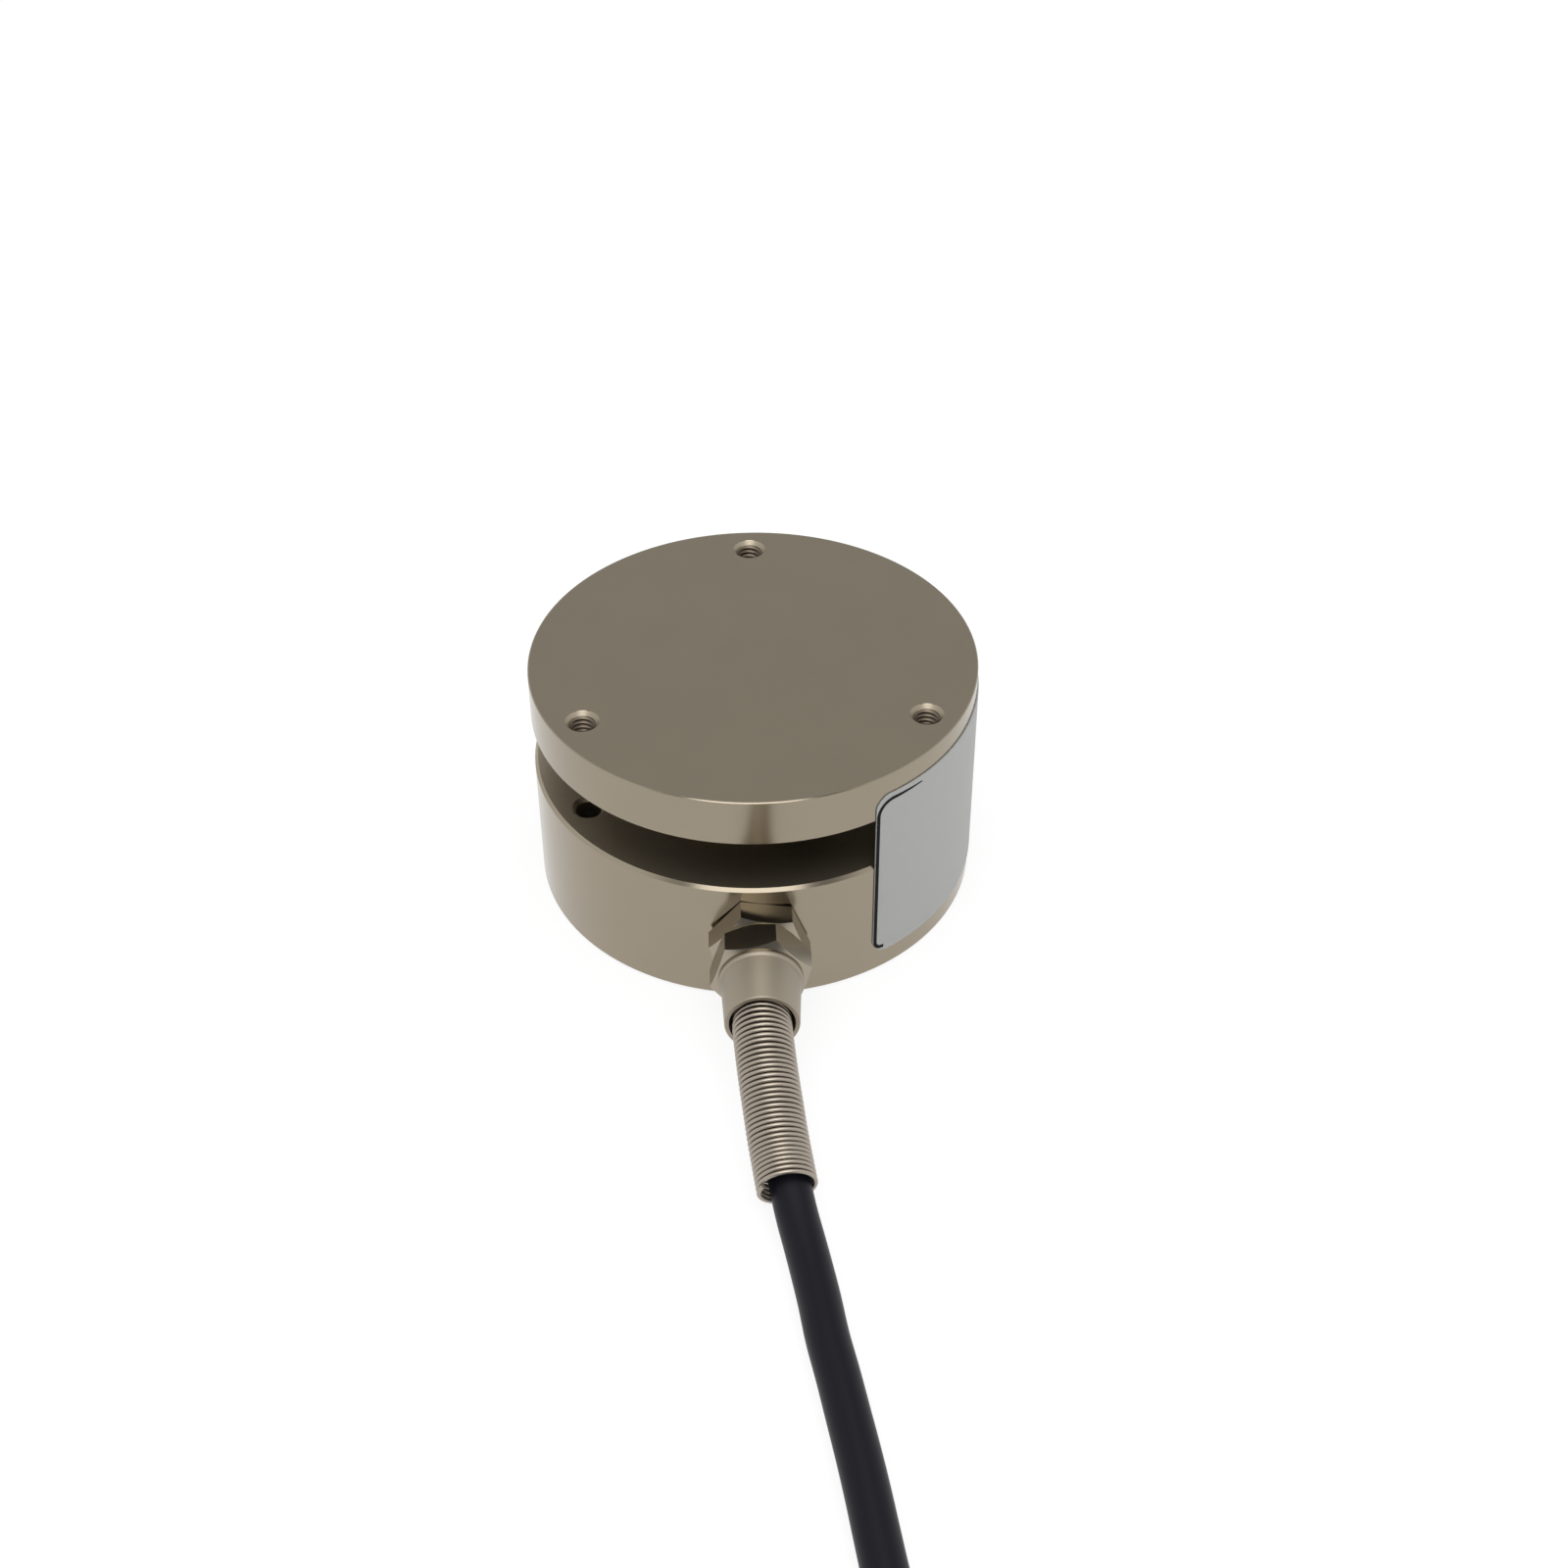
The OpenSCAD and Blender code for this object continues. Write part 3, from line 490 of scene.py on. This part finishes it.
def tail_core(i, name):
    """A bared core: centre at radius r(j) and height z(j) round the coil's axis. The cores leave
    the jacket two over two, and each pair turns flat as it eases down onto the wound cable. The
    conductor stands out of the cut insulation, and starts a few points inside it."""
    rest = COIL_LIFT + 2 * CABLE_D + CORE_D / 2 + CORE_GAP
    start = COIL_LIFT + 2.5 * CABLE_D
    j = np.arange(CORE_POINTS)
    a = np.radians(CORE_START - j * CORE_STEP)
    fan = (1 - np.cos(np.pi * np.minimum(j / CORE_SPREAD, 1))) / 2
    pair, place_in_pair = divmod(i, 2)
    turn = fan * np.pi / 2
    r = (TAIL_R + (2 * pair - 1) * CORE_HALF) * (1 - fan)
    r = r + (CORE_FAN_R + CORE_FAN_STEP * pair) * fan
    r = r + (2 * place_in_pair - 1) * CORE_HALF * np.sin(turn)
    z = start * (1 - fan) + rest * fan + (1 - 2 * place_in_pair) * CORE_HALF * np.cos(turn)
    line = np.stack([COIL_AT[0] + r * np.cos(a), COIL_AT[1] + r * np.sin(a), z], 1)
    line = curve(line, CORE_SPACING)
    cut = len(line) - int(BARED / CORE_SPACING)
    core = piece(f"bared_core_{name}", [sweep(line[:cut], circle(CORE_D / 2, CORE_SIDES))],
                 CORES[name], crease=50)
    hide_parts(f"tail_core_{name}")
    strands = sweep(line[cut - 3:], circle(CONDUCTOR_D / 2, TIP_SIDES))
    tip = piece(f"tinned_tip_{name}", [strands], TINNED, crease=50)
    return [core, tip]


TAIL = [p for i, name in enumerate(CORES) for p in tail_core(i, name)]


# ---------------------------------------------------------------- label's printed border

def brackets():
    """Two printed brackets, one round each end of the label: ribbons on the cylinder r = R that
    follow a line of (R times angle, z) points, from the arm's tip round the upper corner and down
    to the foot, offset half a line width to each side."""
    x0, x1 = LABEL_R * LABEL_START, LABEL_R * (LABEL_START + LABEL_SPAN)
    low, high = LABEL_LOW + BRACKET_EDGE, LABEL_HIGH - BRACKET_EDGE
    q = np.radians(np.linspace(0, 90, CORNER_POINTS))[:, None]
    head = np.hstack([BRACKET_TOP_R - BRACKET_TOP_R * np.sin(q),
                      high - BRACKET_TOP_R + BRACKET_TOP_R * np.cos(q)])
    foot = np.hstack([BRACKET_FOOT_R - BRACKET_FOOT_R * np.cos(q),
                      low + BRACKET_FOOT_R - BRACKET_FOOT_R * np.sin(q)])
    line = np.vstack([[(BRACKET_ARM, high)], head, foot, [(BRACKET_FOOT_R + BRACKET_FOOT, low)]])
    s = running_length(line)
    t = np.linspace(0, s[-1], BRACKET_POINTS)
    line = np.stack([np.interp(t, s, line[:, k]) for k in range(2)], 1)
    ahead = unit(np.gradient(line, axis=0))
    side = np.stack([ahead[:, 1], -ahead[:, 0]], 1)
    half = np.interp(t, [0, BRACKET_ARM - BRACKET_TOP_R], BRACKET_HALF)[:, None]
    parts = []
    for end, sign in ((x0 + BRACKET_END, 1), (x1 - BRACKET_END, -1)):
        rings = []
        for w, h in ((-1, 0), (1, 0), (1, PRINT_THICK), (-1, PRINT_THICK))[::sign]:
            p = line + side * half * w
            a = (end + sign * p[:, 0]) / LABEL_R
            r = LABEL_R + h
            rings.append(np.stack([r * np.cos(a), r * np.sin(a), p[:, 1]], 1))
        parts.append(skin(np.stack(rings, 1)))
    piece("label_bracket_print", parts, PRINT, crease=30)


brackets()


# ---------------------------------------------------------------- stage, light and camera

# Half size of the floor in metres, and the share of plain white in what camera and mirrors see.
FLOOR_HALF = 6.0
WHITE_SHARE = 0.85
PLAIN_WHITE = (1.0, 1.0, 1.0, 1.0)


def floor():
    """Pale matt floor. Camera, glossy and transmission rays see it mixed with plain white of
    strength 1, so that it reads as a white sweep and still takes a faint contact shadow."""
    s = FLOOR_HALF
    mesh = bpy.data.meshes.new("floor")
    mesh.from_pydata([(-s, -s, 0), (s, -s, 0), (s, s, 0), (-s, s, 0)], [], [(0, 1, 2, 3)])
    obj = bpy.data.objects.new("floor", mesh)
    # Matt painted board: nearly white, no highlight.
    material = surface("matt_white_sweep", "#f4f4f4", roughness=0.9, ior=1.45)
    tree = material.node_tree
    ray = node(tree, "ShaderNodeLightPath").outputs
    seen = node(tree, "ShaderNodeMath",
                {0: ray["Is Camera Ray"], 1: ray["Is Glossy Ray"]}, operation="MAXIMUM")
    seen = node(tree, "ShaderNodeMath",
                {0: seen.outputs[0], 1: ray["Is Transmission Ray"]}, operation="MAXIMUM")
    share = node(tree, "ShaderNodeMath",
                 {0: seen.outputs[0], 1: WHITE_SHARE}, operation="MULTIPLY")
    white = node(tree, "ShaderNodeEmission", {"Color": PLAIN_WHITE, "Strength": 1.0})
    mix = node(tree, "ShaderNodeMixShader",
               {0: share.outputs[0], 1: tree.nodes["Principled BSDF"].outputs["BSDF"],
                2: white.outputs["Emission"]})
    tree.links.new(mix.outputs["Shader"], tree.nodes["Material Output"].inputs["Surface"])
    mesh.materials.append(material)
    bpy.context.scene.collection.objects.link(obj)


floor()

# The room round the white backdrop, each part laid over the last: its colour, and the smooth steps
# whose product is its share, each by a measure of the direction and where it starts and ends.
OFF_FLOOR = ("z", 0.0, 0.12)
ROOM = (
    # Grey wall above the backdrop: the load plate's top mirrors it.
    ((0.60, 0.60, 0.59, 1.0), (("z", 0.2, 0.5),)),
    # Dim side that the camera stands on: the hexagons' upper facets mirror it.
    ((0.15, 0.15, 0.15, 1.0), (("y", -0.1, -0.5), OFF_FLOOR)),
    # White side walls: the load plate's top mirrors them when it is seen from other sides.
    (PLAIN_WHITE, (("|x|", 0.4, 0.7), OFF_FLOOR)),
    # Pale ceiling: the countersinks and the sleeve's top mirror it.
    ((2.0, 2.0, 2.0, 1.0), (("z", 0.76, 0.88),)),
)


def world():
    """White where the camera looks past the floor. Other rays meet the room: for a direction d it
    starts as the white backdrop, and each part of ROOM is mixed into it by smooth steps of d.z,
    d.y or |d.x|."""
    w = bpy.data.worlds.new("studio")
    bpy.context.scene.world = w
    w.use_nodes = True
    tree = w.node_tree
    tree.nodes.clear()
    where = node(tree, "ShaderNodeTexCoord")
    d = node(tree, "ShaderNodeSeparateXYZ", {"Vector": where.outputs["Generated"]}).outputs
    aside = node(tree, "ShaderNodeMath", {0: d["X"]}, operation="ABSOLUTE")
    measure = {"z": d["Z"], "y": d["Y"], "|x|": aside.outputs[0]}
    room = PLAIN_WHITE
    for colour, steps in ROOM:
        share = 1.0
        for axis, start, end in steps:
            step = node(tree, "ShaderNodeMapRange",
                        {"Value": measure[axis], "From Min": start, "From Max": end},
                        interpolation_type="SMOOTHSTEP")
            share = node(tree, "ShaderNodeMath", {0: share, 1: step.outputs["Result"]},
                         operation="MULTIPLY").outputs[0]
        # Sockets 6 and 7 are the two colours of the mix.
        room = node(tree, "ShaderNodeMix", {0: share, 6: room, 7: colour},
                    data_type="RGBA").outputs[2]
    light = node(tree, "ShaderNodeBackground", {"Color": room, "Strength": 1.0})
    seen = node(tree, "ShaderNodeBackground", {"Color": PLAIN_WHITE, "Strength": 1.0})
    ray = node(tree, "ShaderNodeLightPath").outputs
    pick = node(tree, "ShaderNodeMixShader",
                {0: ray["Is Camera Ray"], 1: light.outputs["Background"],
                 2: seen.outputs["Background"]})
    node(tree, "ShaderNodeOutputWorld", {"Surface": pick.outputs["Shader"]})


world()


def lamp(name, at, aim, size, power):
    """Square white area light aimed at a point, in metres and watts."""
    data = bpy.data.lights.new(name, "AREA")
    data.shape = "SQUARE"
    data.size = size
    data.energy = power
    obj = bpy.data.objects.new(name, data)
    obj.location = at
    obj.rotation_euler = (Vector(aim) - Vector(at)).to_track_quat("-Z", "Y").to_euler()
    bpy.context.scene.collection.objects.link(obj)


lamp("overhead_softbox", at=(-0.05, -0.68, 1.1), aim=(0, 0, 0), size=0.95, power=7)

# Camera: place in metres, heading from +Y towards +X, tilt down and roll, as fitted to the photo.
camera_data = bpy.data.cameras.new("camera")
camera_data.lens = 54.1
camera_data.sensor_width = 36
camera_data.clip_start = 0.01
camera_data.clip_end = 50
camera = bpy.data.objects.new("camera", camera_data)
bpy.context.scene.collection.objects.link(camera)
bpy.context.scene.camera = camera
tilt, heading, roll = math.radians(39.84), math.radians(1.63), math.radians(-0.17)
look = Vector((math.sin(heading) * math.cos(tilt), math.cos(heading) * math.cos(tilt),
               -math.sin(tilt)))
turn = look.to_track_quat("-Z", "Y").to_matrix() @ Matrix.Rotation(roll, 3, "Z")
camera.location = (-0.0036, -0.294, 0.2587)
camera.rotation_euler = turn.to_euler()

view = bpy.context.scene.view_settings
view.view_transform = "Standard"

bpy.context.view_layer.update()
